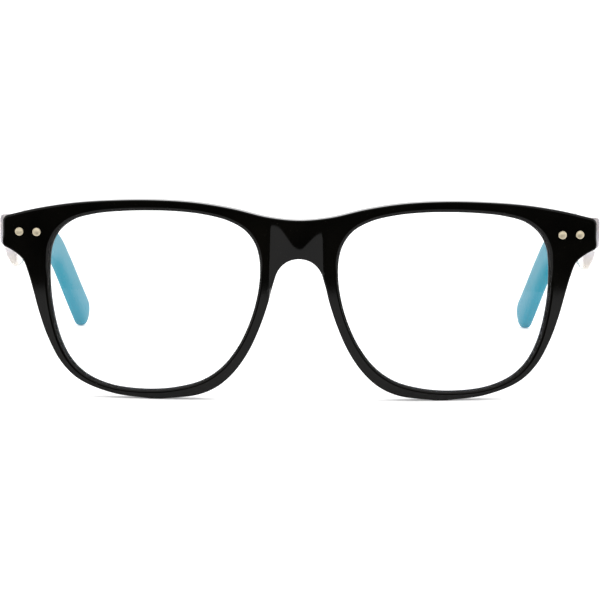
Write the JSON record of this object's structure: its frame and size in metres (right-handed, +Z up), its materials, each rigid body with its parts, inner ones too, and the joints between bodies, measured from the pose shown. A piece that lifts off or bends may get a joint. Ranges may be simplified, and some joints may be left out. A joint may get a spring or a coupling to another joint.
{
  "type": "blue light glasses",
  "caption": "Glossy black acetate front with clear lenses, folding clear temples with cyan ear tips, rivet heads at the ends.",
  "frame": {"origin": "middle of the footprint, on the surface that the open glasses stand on", "axes": "+Z up, -Y out of the lenses away from the wearer, +X to the wearer's left"},
  "size_m": [0.1456, 0.1442, 0.0478],
  "materials": {
    "black_acetate": "polished black acetate",
    "clear_acetate": "polished crystal-clear acetate",
    "cyan_acetate": "satin-polished cyan acetate",
    "lens": "clear blue-light lens with anti-reflection coating",
    "rivet_nickel": "champagne nickel plate, lightly turned",
    "hinge_steel": "nickel silver, satin",
    "core_wire": "nickel silver, drawn"
  },
  "bodies": {
    "front_assembly": {"front": "black_acetate", "left_lens": "lens", "left_nose_pad": "black_acetate", "left_front_hinge_leaf": "hinge_steel", "left_hinge_screw": "hinge_steel", "left_front_rivet_inner": "rivet_nickel", "left_front_rivet_outer": "rivet_nickel", "right_lens": "lens", "right_nose_pad": "black_acetate", "right_front_hinge_leaf": "hinge_steel", "right_hinge_screw": "hinge_steel", "right_front_rivet_inner": "rivet_nickel", "right_front_rivet_outer": "rivet_nickel"},
    "left_temple_arm": {"left_temple": "clear_acetate", "left_temple_tip": "cyan_acetate", "left_core_wire": "core_wire", "left_temple_hinge_leaf": "hinge_steel", "left_temple_rivet_front": "rivet_nickel", "left_temple_rivet_rear": "rivet_nickel"},
    "right_temple_arm": {"right_temple": "clear_acetate", "right_temple_tip": "cyan_acetate", "right_core_wire": "core_wire", "right_temple_hinge_leaf": "hinge_steel", "right_temple_rivet_front": "rivet_nickel", "right_temple_rivet_rear": "rivet_nickel"}
  },
  "joints": [
    {"name": "left_temple_fold", "type": "hinge", "parent": "front_assembly", "child": "left_temple_arm", "pos_m": [0.06585, -0.05689, 0.0396], "axis": [0, 0, 1], "range_deg": [0, 89]},
    {"name": "right_temple_fold", "type": "hinge", "parent": "front_assembly", "child": "right_temple_arm", "pos_m": [-0.06585, -0.05689, 0.0396], "axis": [0, 0, -1], "range_deg": [0, 84]}
  ]
}
